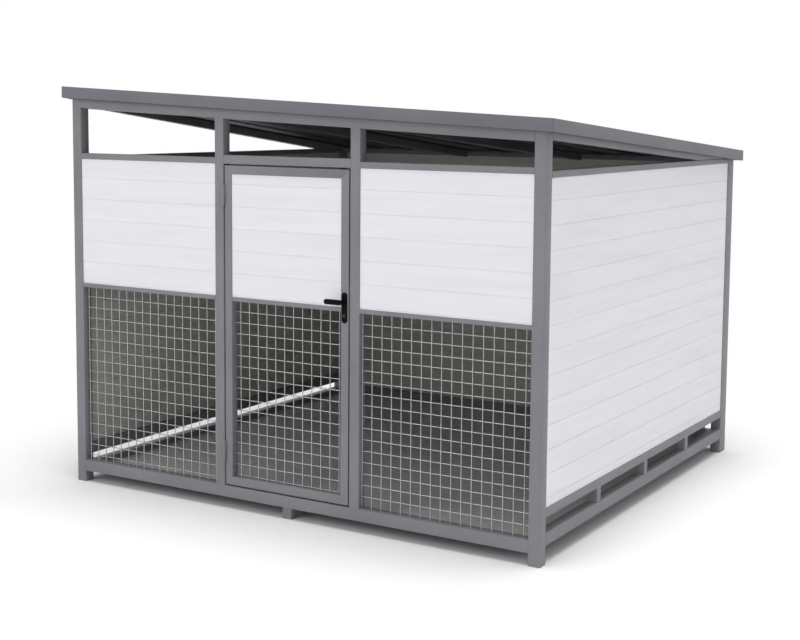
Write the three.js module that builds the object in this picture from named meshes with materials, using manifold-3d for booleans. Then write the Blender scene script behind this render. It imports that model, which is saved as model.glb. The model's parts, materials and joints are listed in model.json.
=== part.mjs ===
// A walk-in dog kennel: a square-tube frame with board walls, a mesh front, a hinged door and a lean-to roof.
// Millimetres. X runs along the front, Y towards the rear and Z up. The origin is under the kennel's middle.
import * as THREE from 'three';
import { mergeVertices } from 'three/addons/utils/BufferGeometryUtils.js';
import Module from 'manifold-3d';

const wasm = await Module();
wasm.setup();

// ---- Driving dimensions ----

// Plan and joints
const frontWidth = 2580; // over the corner posts
const sideDepth = 2385; // over the front and rear posts
const seat = 0.3; // gap at a welded or screwed joint

// Posts and bays
const cornerPostWidth = 55;
const frontPostDepth = 55;
const rearPostDepth = 90;
const doorPostSize = 50;
const doorOpening = 700;
const postWall = 3;

// Bottom rails and feet
const footedRailHeight = 55; // ground to the underside of the front and rear bottom rails
const rightRailHeight = 78;
const leftRailHeight = 37;
const bottomRailSize = 55;
const footWidth = 50;
const footDepth = 40;
const footSetback = 12; // behind the rail's outer face

// Rails over the ventilation slots, and the legs of the right one
const lowRailHeight = 200;
const lowRailSize = 40;
const leftLowRailHeight = 134;
const leftLowRailSize = 55;
const legWidth = 40;
const legCount = 3;
const railDepth = 50; // horizontal depth of every rail above the bottom rails
const railWall = 2;

// Rails between the boards, the mesh and the open strip under the roof
const midRailHeight = 986;
const midRailSize = 20;
const transomHeight = 1620;
const transomSize = 28;
const doorHeadSize = 40;
const topRailHeight = 1605;
const topRailSize = 28;

// Roof: heights of the fascia's upper edge over the front corners, and what hangs below that edge
const roofFrontLeft = 1974;
const roofFrontRight = 1846;
const overhangFront = 30;
const overhangSide = 40;
const overhangRear = 40;
const fasciaHeight = 55;
const fasciaSheet = 2.5;
const fasciaTopFlange = 35;
const fasciaLip = 18;
const panelUnderside = 42;
const panelSheet = 1;
const beamUnderside = 96;
const rafterUnderside = 84;
const rafterTip = 12; // least depth of a side rafter where it runs out on the top rail
const panelSeat = 0.8; // gap above and below the slightly twisted panel
const ribCount = 12;
const ribBase = 70;
const ribCrest = 36;
const roofSteps = 7;

// Boards
const boardThickness = 28;
const boardSetback = 4;
const boardPitch = 103;
const frontJointHeight = 1115; // one joint of the front boards, from the ground
const wallJointHeight = 277;
const drainWidth = 60; // notch in the rear wall's lower right corner
const drainHeight = 90;
const grooveWidth = 4.5;
const grooveDepth = 2.4;

// Floor
const floorTop = 62;
const floorThickness = 18;
const bearerWidth = 45;
const bearerCount = 4;

// Welded wire mesh
const wireRadius = 2.2;
const wireBite = 0.5; // how deep two crossing wires are welded into each other
const wirePitchAcross = 50;
const wirePitchUp = { left: 53.3, door: 51.5, right: 51.5 };
const wireOffset = { left: 0, door: 7, right: -13 }; // of the middle wire from the middle of the opening
const wireTopMargin = 50;
const meshSetback = 22;

// Door
const doorGap = 7;
const doorTubeSize = 40;
const hingeHeights = [277, 1476];
const hingeHalfHeight = 50;
const hingeRadius = 7;
const hingePinRadius = 4;
const hingePinClearance = 0.1;
const hingeForward = 6.5; // hinge axis in front of the door's face

// Lock and handle
const spindleHeight = 1033;
const spindleSize = 8;
const keyDrop = 63; // spindle to key plug
const keyPlugRadius = 7;
const keywayWidth = 2.5;
const keywayHeight = 9;
const keywayDepth = 7;
const plateWidth = 28;
const plateLength = 136;
const plateTopMargin = 40; // spindle to the plate's upper end
const plateThickness = 4;
const gripReach = 80;
const gripHeight = 23;
const gripThickness = 10;
const gripStandoff = 42;
const neckRadius = 8;
const collarRadius = 11;
const collarLength = 4;
const caseDepth = 34;
const caseThickness = 16;
const caseBelowSpindle = 117;
const caseAboveSpindle = 48;
const forendWidth = 22;
const forendThickness = 2.2;
const forendMargin = 20;
const boltThickness = 12;
const boltSlack = 0.3;
const latchRise = 24; // above the spindle
const latchHeight = 14;
const latchReach = 15; // beyond the door's edge at rest
const latchTail = 16;
const latchTravel = 13;
const latchBevel = 8;
const deadBoltDrop = 40; // below the spindle
const deadBoltHeight = 20;
const deadBoltLength = 33;
const deadBoltTravel = 14;
const strikeThickness = 2;
const strikeWidth = 26;
const strikeMargin = 16;
const strikeHoleSlack = 2.5;

// ---- Places worked out from the driving dimensions ----

const halfWidth = frontWidth / 2;
const bayOuter = halfWidth - cornerPostWidth;
const bayInner = doorOpening / 2 + doorPostSize;
const rearPostFront = sideDepth - rearPostDepth;
const footedRailTop = footedRailHeight + bottomRailSize;
const rightRailTop = rightRailHeight + bottomRailSize;
const leftRailTop = leftRailHeight + bottomRailSize;
const lowRailTop = lowRailHeight + lowRailSize;
const leftLowRailTop = leftLowRailHeight + leftLowRailSize;
const midRailTop = midRailHeight + midRailSize;
const topRailTop = topRailHeight + topRailSize;
const roofLeft = -halfWidth - overhangSide;
const roofRight = halfWidth + overhangSide;
const roofFront = -overhangFront;
const roofRear = sideDepth + overhangRear;

// The roof's rear edge is level, at the height that lets the panel just clear the rear top rail.
const rearShare = overhangRear / (roofRear - roofFront);
const roofFrontLow = Math.min(roofFrontLeft, roofFrontRight);
const roofRearHeight = (topRailTop + panelSeat + panelUnderside - roofFrontLow * rearShare) / (1 - rearShare);

// Height of the fascia's upper edge carried over the whole roof, straight from side to side and front to rear.
function roofTop(x, y) {
  const frontHeight = THREE.MathUtils.mapLinear(x, roofLeft, roofRight, roofFrontLeft, roofFrontRight);
  return THREE.MathUtils.mapLinear(y, roofFront, roofRear, frontHeight, roofRearHeight);
}
const belowRoof = (drop) => (x, y) => roofTop(x, y) - drop;
const underPanel = belowRoof(panelUnderside + panelSeat);

const doorLeft = -doorOpening / 2 + doorGap;
const doorRight = doorOpening / 2 - doorGap;
const doorBottom = footedRailTop + doorGap;
const doorTop = transomHeight - doorGap;
const hingeX = (doorLeft - doorOpening / 2) / 2;
const lockX = doorRight - doorTubeSize / 2;
const keyHeight = spindleHeight - keyDrop;
const latchHeightCentre = spindleHeight + latchRise;
const deadBoltCentre = spindleHeight - deadBoltDrop;
const forendOuter = doorRight + seat + forendThickness;
const caseInner = doorRight - caseDepth;

// ---- Materials ----

const paint = new THREE.MeshStandardMaterial({ color: '#7c7f86', roughness: 0.45, metalness: 0.2 });
const board = new THREE.MeshStandardMaterial({ color: '#e6e5ea', roughness: 0.5, metalness: 0 });
const wire = new THREE.MeshStandardMaterial({ color: '#aaaba8', roughness: 0.4, metalness: 0.8 });
const floorCoat = new THREE.MeshStandardMaterial({ color: '#5b5e63', roughness: 0.7, metalness: 0 });
const handleBlack = new THREE.MeshStandardMaterial({ color: '#1b1c1f', roughness: 0.4, metalness: 0.1 });
const bareSteel = new THREE.MeshStandardMaterial({ color: '#b4b6b8', roughness: 0.3, metalness: 0.9 });

const kennel = new THREE.Group();

function add(name, geometry, material) {
  const mesh = new THREE.Mesh(weld(geometry), material);
  mesh.name = name;
  kennel.add(mesh);
}

// ---- Geometry helpers ----

function weld(geometry) {
  geometry.deleteAttribute('normal');
  geometry.deleteAttribute('uv');
  return mergeVertices(geometry);
}

function toSolid(geometry) {
  const { attributes, index } = weld(geometry);
  const vertProperties = Float32Array.from(attributes.position.array);
  const triVerts = Uint32Array.from(index.array);
  return new wasm.Manifold(new wasm.Mesh({ numProp: 3, vertProperties, triVerts }));
}

function toGeometry(solid) {
  const { vertProperties, triVerts } = solid.getMesh();
  const geometry = new THREE.BufferGeometry();
  geometry.setAttribute('position', new THREE.BufferAttribute(vertProperties, 3));
  geometry.setIndex(new THREE.BufferAttribute(triVerts, 1));
  return geometry;
}

const join = (...geometries) => toGeometry(geometries.map(toSolid).reduce((sum, solid) => sum.add(solid)));
const cut = (body, ...tools) =>
  toGeometry(tools.map(toSolid).reduce((rest, tool) => rest.subtract(tool), toSolid(body)));

// A geometry from corner points and triangles, turned round if its faces point inwards.
function closedGeometry(points, triangles) {
  let volume = 0;
  for (const [a, b, c] of triangles) {
    volume += points[a].dot(new THREE.Vector3().crossVectors(points[b], points[c]));
  }
  const outward = volume > 0 ? triangles : triangles.map(([a, b, c]) => [a, c, b]);
  const geometry = new THREE.BufferGeometry().setFromPoints(points);
  return geometry.setIndex(outward.flat());
}

// A skin carried through several sections of the same outline, closed at both ends.
// Each section is a list of points, and the flat outline tells how the end faces are divided.
function loft(outline, sections) {
  const count = outline.length;
  const triangles = [];
  for (let s = 0; s < sections.length - 1; s += 1) {
    for (let k = 0; k < count; k += 1) {
      const [a, b] = [s * count + k, s * count + ((k + 1) % count)];
      triangles.push([a, b, b + count], [a, b + count, a + count]);
    }
  }
  const last = (sections.length - 1) * count;
  const clockwise = THREE.ShapeUtils.isClockWise(outline);
  for (const [a, b, c] of THREE.ShapeUtils.triangulateShape(outline, [])) {
    const [p, q] = clockwise ? [b, c] : [c, b];
    triangles.push([a, p, q], [last + a, last + q, last + p]);
  }
  return closedGeometry(sections.flat(), triangles);
}

// A hollow bar, open at both ends. Each ring holds four outer corners followed by the four inner ones.
function hollowBar(rings) {
  const triangles = [];
  const quad = (a, b, c, d) => triangles.push([a, b, c], [a, c, d]);
  const last = (rings.length - 1) * 8;
  for (let k = 0; k < 4; k += 1) {
    const next = (k + 1) % 4;
    for (let s = 0; s < last; s += 8) {
      quad(s + k, s + next, s + next + 8, s + k + 8);
      quad(s + next + 4, s + k + 4, s + k + 12, s + next + 12);
    }
    quad(next, k, k + 4, next + 4);
    quad(last + k, last + next, last + next + 4, last + k + 4);
  }
  return closedGeometry(rings.flat(), triangles);
}

const corners = ([a0, a1], [b0, b1]) => [[a0, b0], [a1, b0], [a1, b1], [a0, b1]];
const inset = ([low, high], wall) => [low + wall, high - wall];

// A straight tube along one axis. An end is a number, or a function of the two cross directions for a mitre.
function tube(axis, ends, spanA, spanB, wall) {
  const place = { x: (t, a, b) => [t, a, b], y: (t, a, b) => [a, t, b], z: (t, a, b) => [a, b, t] }[axis];
  const section = [...corners(spanA, spanB), ...corners(inset(spanA, wall), inset(spanB, wall))];
  const rings = ends.map((end) =>
    section.map(([a, b]) => new THREE.Vector3(...place(typeof end === 'function' ? end(a, b) : end, a, b))));
  return hollowBar(rings);
}

// A tube that follows the roof: its lower and upper faces are heights over the plan.
function roofTube(axis, stations, span, low, high, wall) {
  const at = { x: (t, a) => [t, a], y: (t, a) => [a, t] }[axis];
  const ring = (t, [a0, a1], rise) => {
    const [near, far] = [at(t, a0), at(t, a1)];
    return [[near, low, rise], [far, low, rise], [far, high, -rise], [near, high, -rise]]
      .map(([[x, y], height, lift]) => new THREE.Vector3(x, y, height(x, y) + lift));
  };
  return hollowBar(stations.map((t) => [...ring(t, span, 0), ...ring(t, inset(span, wall), wall)]));
}

function box([x0, x1], [y0, y1], [z0, z1]) {
  const geometry = new THREE.BoxGeometry(x1 - x0, y1 - y0, z1 - z0);
  return geometry.translate((x0 + x1) / 2, (y0 + y1) / 2, (z0 + z1) / 2);
}

// A flat outline drawn in Y and Z and carried along X, or drawn in X and Z and carried along Y.
function prismAlongX(shape, [from, to], curveSegments = 8) {
  const geometry = new THREE.ExtrudeGeometry(shape, { depth: to - from, bevelEnabled: false, curveSegments });
  const turn = new THREE.Matrix4().set(0, 0, 1, 0, 1, 0, 0, 0, 0, 1, 0, 0, 0, 0, 0, 1);
  return geometry.applyMatrix4(turn).translate(from, 0, 0);
}
function prismAlongY(shape, [from, to], curveSegments = 8) {
  const geometry = new THREE.ExtrudeGeometry(shape, { depth: to - from, bevelEnabled: false, curveSegments });
  return geometry.rotateX(Math.PI / 2).translate(0, to, 0);
}

function rodAlongY(radius, x, z, [from, to], sides = 16) {
  const geometry = new THREE.CylinderGeometry(radius, radius, to - from, sides);
  return geometry.translate(0, (from + to) / 2, 0).translate(x, 0, z);
}

function rectangle([a0, a1], [b0, b1]) {
  return new THREE.Shape(corners([a0, a1], [b0, b1]).map(([a, b]) => new THREE.Vector2(a, b)));
}

const around = (centre, width) => [centre - width / 2, centre + width / 2];
const between = ([low, high], gap = seat) => [low + gap, high - gap];
const sideNames = [['left', -1], ['right', 1]];
const mirrored = (side, [inner, outer]) => (side < 0 ? [-outer, -inner] : [inner, outer]);

// ---- Posts ----

for (const [name, side] of sideNames) {
  const span = mirrored(side, [bayOuter, halfWidth]);
  const post = (depthSpan) => tube('z', [0, underPanel], span, depthSpan, postWall);
  add(`corner_post_front_${name}`, post([0, frontPostDepth]), paint);
  add(`corner_post_rear_${name}`, post([rearPostFront, sideDepth]), paint);
}

// Door posts stand on the bottom rail and reach the front beam. The right one is pierced for the two bolts.
const doorPostEnds = [footedRailTop + seat, belowRoof(beamUnderside + seat)];
const doorPost = (side) =>
  tube('z', doorPostEnds, mirrored(side, [doorOpening / 2, bayInner]), [0, doorPostSize], postWall);
const boltY = around(doorTubeSize / 2, boltThickness);
const boltHole = (centre, height) => [
  [boltY[0] - strikeHoleSlack, boltY[1] + strikeHoleSlack],
  around(centre, height + 2 * strikeHoleSlack),
];
const boltHoles = [boltHole(latchHeightCentre, latchHeight), boltHole(deadBoltCentre, deadBoltHeight)];
const postPockets = boltHoles.map(([ySpan, zSpan]) =>
  box([doorOpening / 2 - postWall, doorOpening / 2 + 2 * postWall], ySpan, zSpan));
add('door_post_left', doorPost(-1), paint);
add('door_post_right', cut(doorPost(1), ...postPockets), paint);

// ---- Bottom rails, the front and rear ones with a foot under their middle ----

const betweenPostsX = between([-bayOuter, bayOuter]);
const betweenPostsY = between([frontPostDepth, rearPostFront]);

function footedRail(railY, footY) {
  const rail = tube('x', betweenPostsX, railY, [footedRailHeight, footedRailTop], postWall);
  const foot = tube('z', [0, footedRailHeight + postWall / 2], around(0, footWidth), footY, postWall);
  return join(rail, foot);
}
const frontFootY = [footSetback, footSetback + footDepth];
const rearFootY = [sideDepth - footSetback - footDepth, sideDepth - footSetback];
const rearRailY = [sideDepth - bottomRailSize, sideDepth];
add('bottom_rail_front', footedRail([0, bottomRailSize], frontFootY), paint);
add('bottom_rail_rear', footedRail(rearRailY, rearFootY), paint);
const bottomRailZ = { left: [leftRailHeight, leftRailTop], right: [rightRailHeight, rightRailTop] };
for (const [name, side] of sideNames) {
  const span = mirrored(side, [halfWidth - bottomRailSize, halfWidth]);
  add(`bottom_rail_${name}`, tube('y', betweenPostsY, span, bottomRailZ[name], postWall), paint);
}

// ---- Low rails over the ventilation slots, the right one on legs that divide its slot equally ----

const sideRailSpan = (side) => mirrored(side, [halfWidth - railDepth, halfWidth]);
const rearRailSpan = [sideDepth - railDepth, sideDepth];
const legZ = [rightRailTop + seat, lowRailHeight + railWall / 2];
const legSpacing = (rearPostFront - frontPostDepth + legWidth) / (legCount + 1);
const legs = Array.from({ length: legCount }, (_, k) => {
  const centre = frontPostDepth - legWidth / 2 + (k + 1) * legSpacing;
  return tube('z', legZ, sideRailSpan(1), around(centre, legWidth), railWall);
});
const leftLowRailZ = [leftLowRailHeight, leftLowRailTop];
add('low_rail_left', tube('y', betweenPostsY, sideRailSpan(-1), leftLowRailZ, railWall), paint);
const rightLowRail = tube('y', betweenPostsY, sideRailSpan(1), [lowRailHeight, lowRailTop], railWall);
add('low_rail_right', join(rightLowRail, ...legs), paint);

// ---- Top rails, transoms, door head and mid rails ----

const topRailZ = [topRailHeight, topRailTop];
for (const [name, side] of sideNames) {
  add(`top_rail_${name}`, tube('y', betweenPostsY, sideRailSpan(side), topRailZ, railWall), paint);
}
add('top_rail_rear', tube('x', betweenPostsX, rearRailSpan, topRailZ, railWall), paint);

const frontSpan = [0, railDepth];
for (const [name, side] of sideNames) {
  const bay = between(mirrored(side, [bayInner, bayOuter]));
  const transomZ = [transomHeight, transomHeight + transomSize];
  add(`transom_${name}`, tube('x', bay, frontSpan, transomZ, railWall), paint);
  add(`mid_rail_${name}`, tube('x', bay, frontSpan, [midRailHeight, midRailTop], railWall), paint);
}
const headX = between([-doorOpening / 2, doorOpening / 2]);
add('door_head', tube('x', headX, frontSpan, [transomHeight, transomHeight + doorHeadSize], railWall), paint);

// ---- Roof frame ----

const frontBeam = roofTube('x', betweenPostsX, frontSpan, belowRoof(beamUnderside), underPanel, railWall);
add('front_beam', frontBeam, paint);

// A side rafter is scribed onto the top rail: from where it meets the rail, its lower face follows the rail,
// and it stops where its depth has shrunk to the rafter tip, or at the rear post.
const rafterLow = (x, y) => Math.max(roofTop(x, y) - rafterUnderside, topRailTop + seat);
function whereDropIs(x, drop, height) {
  const [front, rear] = [roofTop(x, 0), roofTop(x, sideDepth)];
  return THREE.MathUtils.mapLinear(height + drop, front, rear, 0, sideDepth);
}
for (const [name, side] of sideNames) {
  const middle = side * (halfWidth - railDepth / 2);
  const start = frontPostDepth + seat;
  const meetsRail = whereDropIs(middle, rafterUnderside, topRailTop + seat);
  const runsOut = whereDropIs(middle, panelUnderside + panelSeat + rafterTip, topRailTop + seat);
  const stations = [start, meetsRail, Math.min(runsOut, rearPostFront - seat)];
  add(`rafter_${name}`, roofTube('y', stations, sideRailSpan(side), rafterLow, underPanel, railWall), paint);

  const innerSpan = mirrored(side, [doorOpening / 2, bayInner]);
  const innerEnds = between([railDepth, sideDepth - railDepth]);
  const lower = belowRoof(rafterUnderside);
  add(`inner_rafter_${name}`, roofTube('y', innerEnds, innerSpan, lower, underPanel, railWall), paint);
}

// ---- Roof panel: one sheet with pressed ribs that run from front to rear ----

function roofPanelOutline() {
  const edge = fasciaSheet + seat;
  const [left, right] = [roofLeft + edge, roofRight - edge];
  const crest = fasciaSheet + panelSeat;
  const [foot, crown] = [ribBase / 2, ribCrest / 2];
  const pan = panelUnderside - panelSheet;
  const slope = Math.atan2(pan - crest, foot - crown);
  const face = (drop, tuck) => {
    const points = [[left, -pan - drop]];
    for (let k = 0; k < ribCount; k += 1) {
      const centre = left + ((k + 0.5) * (right - left)) / ribCount;
      const [low, high] = [foot - tuck, crown - tuck];
      points.push([centre - low, -pan - drop], [centre - high, -crest - drop]);
      points.push([centre + high, -crest - drop], [centre + low, -pan - drop]);
    }
    return [...points, [right, -pan - drop]];
  };
  const underside = face(panelSheet, panelSheet * Math.tan(slope / 2)).reverse();
  return [...face(0, 0), ...underside].map(([x, offset]) => new THREE.Vector2(x, offset));
}

function roofPanel() {
  const outline = roofPanelOutline();
  const edge = fasciaSheet + seat;
  const sections = [];
  for (let s = 0; s <= roofSteps; s += 1) {
    const y = THREE.MathUtils.lerp(roofFront + edge, roofRear - edge, s / roofSteps);
    sections.push(outline.map((point) => new THREE.Vector3(point.x, y, roofTop(point.x, y) + point.y)));
  }
  return loft(outline, sections);
}
add('roof_panel', roofPanel(), paint);

// ---- Fascia: a bent sheet with a top flange and a drip lip, mitred at the corners ----

const fasciaOutline = [
  [0, 0],
  [fasciaTopFlange, 0],
  [fasciaTopFlange, -fasciaSheet],
  [fasciaSheet, -fasciaSheet],
  [fasciaSheet, fasciaSheet - fasciaHeight],
  [fasciaLip, fasciaSheet - fasciaHeight],
  [fasciaLip, -fasciaHeight],
  [0, -fasciaHeight],
].map(([inward, up]) => new THREE.Vector2(inward, up));

function fascia([startX, startY], [endX, endY]) {
  const start = new THREE.Vector2(startX, startY);
  const end = new THREE.Vector2(endX, endY);
  const along = end.clone().sub(start).normalize();
  const inward = new THREE.Vector2(-along.y, along.x);
  const mitredEnd = (corner, direction) => fasciaOutline.map((point) => {
    const plan = corner.clone().addScaledVector(inward, point.x);
    plan.addScaledVector(along, direction * (point.x + seat));
    return new THREE.Vector3(plan.x, plan.y, roofTop(plan.x, plan.y) + point.y);
  });
  return loft(fasciaOutline, [mitredEnd(start, 1), mitredEnd(end, -1)]);
}
const roofCorners = corners([roofLeft, roofRight], [roofFront, roofRear]);
['front', 'right', 'rear', 'left'].forEach((name, k) => {
  add(`fascia_${name}`, fascia(roofCorners[k], roofCorners[(k + 1) % roofCorners.length]), paint);
});

// ---- Board panels: tongue-and-groove boards with a V groove at each joint, on both faces ----

// The outline of a panel between its two faces. Joints lie a whole number of boards from the given height.
function boardOutline([inner, outer], [bottom, top], jointHeight) {
  const firstBoard = Math.ceil((bottom + grooveWidth - jointHeight) / boardPitch);
  const lastBoard = Math.floor((top - grooveWidth - jointHeight) / boardPitch);
  const face = (across, depth) => {
    const points = [[across, bottom]];
    for (let k = firstBoard; k <= lastBoard; k += 1) {
      const joint = jointHeight + k * boardPitch;
      const [low, high] = around(joint, grooveWidth);
      points.push([across, low], [across + depth, joint], [across, high]);
    }
    return [...points, [across, top]];
  };
  const outline = [...face(outer, -grooveDepth), ...face(inner, grooveDepth).reverse()];
  return new THREE.Shape(outline.map(([across, up]) => new THREE.Vector2(across, up)));
}
const frontBoardY = [boardSetback, boardSetback + boardThickness];
const wallFoot = { left: leftLowRailTop, right: lowRailTop };
for (const [name, side] of sideNames) {
  const bayZ = between([midRailTop, transomHeight]);
  const bay = between(mirrored(side, [bayInner, bayOuter]));
  add(`boards_front_${name}`, prismAlongX(boardOutline(frontBoardY, bayZ, frontJointHeight), bay), board);
  const wallX = mirrored(side, [halfWidth - boardSetback - boardThickness, halfWidth - boardSetback]);
  const wallZ = between([wallFoot[name], topRailHeight]);
  add(`boards_${name}`, prismAlongY(boardOutline(wallX, wallZ, wallJointHeight), betweenPostsY), board);
}

// The rear wall stands on the bottom rail and has a drain notch in its lower right corner.
const rearBoardY = [sideDepth - boardSetback - boardThickness, sideDepth - boardSetback];
const rearOutline = boardOutline(rearBoardY, between([footedRailTop, topRailHeight]), wallJointHeight);
const drain = box([bayOuter - drainWidth, halfWidth], [0, 2 * sideDepth], [0, footedRailTop + drainHeight]);
add('boards_rear', cut(prismAlongX(rearOutline, betweenPostsX), drain), board);

// ---- Floor panel on bearers that run from front to rear on the ground ----

function floorPanel() {
  const [left, right] = between([bottomRailSize - halfWidth, halfWidth - bottomRailSize]);
  const underside = floorTop - floorThickness;
  const outline = [[left, underside]];
  for (let k = 0; k < bearerCount; k += 1) {
    const centre = left + ((k + 0.5) * (right - left)) / bearerCount;
    const [bearerLeft, bearerRight] = around(centre, bearerWidth);
    outline.push([bearerLeft, underside], [bearerLeft, 0], [bearerRight, 0], [bearerRight, underside]);
  }
  outline.push([right, underside], [right, floorTop], [left, floorTop]);
  const shape = new THREE.Shape(outline.map(([x, z]) => new THREE.Vector2(x, z)));
  return prismAlongY(shape, between([frontPostDepth, sideDepth - bottomRailSize]));
}
add('floor_panel', floorPanel(), floorCoat);

// ---- Welded wire mesh: upright wires in front, level wires behind, each crossing welded ----

function wireMesh(place, [left, right], [bottom, top]) {
  const bar = (length) => new THREE.CylinderGeometry(wireRadius, wireRadius, length, 4);
  const [xSpan, zSpan] = [between([left, right]), between([bottom, top])];
  const [pitchUp, offset] = [wirePitchUp[place], wireOffset[place]];
  const columns = Math.floor((right - left - 2 * (wireRadius + Math.abs(offset))) / wirePitchAcross) + 1;
  const rows = Math.floor((top - wireTopMargin - bottom - 2 * wireRadius) / pitchUp) + 1;
  const firstColumn = (left + right - (columns - 1) * wirePitchAcross) / 2 + offset;
  const levelY = meshSetback + 2 * wireRadius - wireBite;
  const wires = [];
  for (let k = 0; k < columns; k += 1) {
    const upright = bar(zSpan[1] - zSpan[0]).rotateX(Math.PI / 2);
    wires.push(upright.translate(firstColumn + k * wirePitchAcross, meshSetback, (zSpan[0] + zSpan[1]) / 2));
  }
  for (let k = 0; k < rows; k += 1) {
    const level = bar(xSpan[1] - xSpan[0]).rotateZ(Math.PI / 2);
    wires.push(level.translate((left + right) / 2, levelY, top - wireTopMargin - k * pitchUp));
  }
  return join(...wires);
}
for (const [name, side] of sideNames) {
  const bay = mirrored(side, [bayInner, bayOuter]);
  add(`wire_mesh_${name}`, wireMesh(name, bay, [footedRailTop, midRailHeight]), wire);
}

// ---- Door frame, mitred at the corners, with its boards and mesh ----

const doorY = [0, doorTubeSize];
const lowMitre = (x) => doorBottom + Math.min(x - doorLeft, doorRight - x);
const highMitre = (x) => doorTop - Math.min(x - doorLeft, doorRight - x);
const stile = (span) => tube('z', [lowMitre, highMitre], span, doorY, railWall);
const doorInner = [doorLeft + doorTubeSize, doorRight - doorTubeSize];
const doorInnerZ = [doorBottom + doorTubeSize, doorTop - doorTubeSize];

function doorRail([z0, z1], depthAt) {
  const ends = [(y, z) => doorLeft + depthAt(z) + seat, (y, z) => doorRight - depthAt(z) - seat];
  return tube('x', ends, doorY, [z0, z1], railWall);
}
add('door_top_rail', doorRail([doorInnerZ[1], doorTop], (z) => doorTop - z), paint);
add('door_bottom_rail', doorRail([doorBottom, doorInnerZ[0]], (z) => z - doorBottom), paint);
add('door_mid_rail', doorRail([midRailHeight, midRailTop], () => doorTubeSize), paint);
add('door_hinge_stile', stile([doorLeft, doorInner[0]]), paint);

// The lock stile is pierced for the spindle and the key plug, and slotted for the lock case.
const throughHole = (radius, z) => rodAlongY(radius, lockX, z, [-doorTubeSize, 2 * doorTubeSize]);
const caseY = around(doorTubeSize / 2, caseThickness);
const caseZ = [spindleHeight - caseBelowSpindle, spindleHeight + caseAboveSpindle];
const slotX = [doorRight - 2 * railWall, doorRight + railWall];
const caseSlot = box(slotX, between(caseY, -seat), between(caseZ, -seat));
const stileHoles = [throughHole(neckRadius + 1, spindleHeight), throughHole(keyPlugRadius + 2, keyHeight)];
add('door_lock_stile', cut(stile([doorInner[1], doorRight]), caseSlot, ...stileHoles), paint);

const doorBoards = boardOutline(frontBoardY, between([midRailTop, doorInnerZ[1]]), frontJointHeight);
add('door_boards', prismAlongX(doorBoards, between(doorInner)), board);
add('door_wire_mesh', wireMesh('door', doorInner, [doorInnerZ[0], midRailHeight]), wire);

// ---- Hinges: a lower barrel with its pin on the frame, an upper barrel on the door ----

function barrel(profile) {
  const points = profile.map(([radius, z]) => new THREE.Vector2(radius, z));
  return new THREE.LatheGeometry(points, 16).rotateX(Math.PI / 2).translate(hingeX, -hingeForward, 0);
}
hingeHeights.forEach((height, k) => {
  const name = ['lower', 'upper'][k];
  const chamfer = hingeRadius / 3;
  const pinTop = height + 0.8 * hingeHalfHeight;
  const boreRadius = hingePinRadius + hingePinClearance;
  const frameBarrel = [
    [0, height - hingeHalfHeight],
    [hingeRadius - chamfer, height - hingeHalfHeight],
    [hingeRadius, height - hingeHalfHeight + chamfer],
    [hingeRadius, height],
    [hingePinRadius, height],
    [hingePinRadius, pinTop],
    [0, pinTop],
  ];
  const doorBarrel = [
    [0, pinTop + seat],
    [boreRadius, pinTop + seat],
    [boreRadius, height + seat],
    [hingeRadius, height + seat],
    [hingeRadius, height + hingeHalfHeight - chamfer],
    [hingeRadius - chamfer, height + hingeHalfHeight],
    [0, height + hingeHalfHeight],
  ];
  add(`hinge_pin_barrel_${name}`, barrel(frameBarrel), paint);
  add(`hinge_door_barrel_${name}`, barrel(doorBarrel), paint);
});

// ---- Lock case with its forend ----

const boltCavity = (from, centre, height) =>
  box([from, forendOuter + 1], between(boltY, -boltSlack), between(around(centre, height), -boltSlack));
const lockCase = join(
  box([caseInner, doorRight + seat], caseY, caseZ),
  box([doorRight + seat, forendOuter], around(doorTubeSize / 2, forendWidth), between(caseZ, -forendMargin)),
);
const caseCuts = [
  throughHole(spindleSize * 0.75, spindleHeight),
  throughHole(keyPlugRadius + boltSlack, keyHeight),
  boltCavity(doorRight - latchTail - latchTravel - boltSlack, latchHeightCentre, latchHeight),
  boltCavity(forendOuter - deadBoltLength - boltSlack, deadBoltCentre, deadBoltHeight),
];
add('lock_case', cut(lockCase, ...caseCuts), bareSteel);

// ---- Backplates with round ends ----

function backplate([y0, y1]) {
  const radius = plateWidth / 2;
  const top = spindleHeight + plateTopMargin - radius;
  const bottom = spindleHeight + plateTopMargin - plateLength + radius;
  const shape = new THREE.Shape();
  shape.absarc(lockX, top, radius, 0, Math.PI, false);
  shape.absarc(lockX, bottom, radius, Math.PI, 2 * Math.PI, false);
  const hole = (z, size) => new THREE.Path().absarc(lockX, z, size, 0, 2 * Math.PI, true);
  shape.holes.push(hole(spindleHeight, neckRadius + seat), hole(keyHeight, keyPlugRadius + boltSlack));
  return prismAlongY(shape, [y0, y1]);
}
const outerPlateY = [-seat - plateThickness, -seat];
const innerPlateY = [doorTubeSize + seat, doorTubeSize + seat + plateThickness];
add('backplate_outer', backplate(outerPlateY), handleBlack);
add('backplate_inner', backplate(innerPlateY), handleBlack);

// ---- Levers: a grip with round ends on a neck and collar, and the square spindle on the outer one ----

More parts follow.
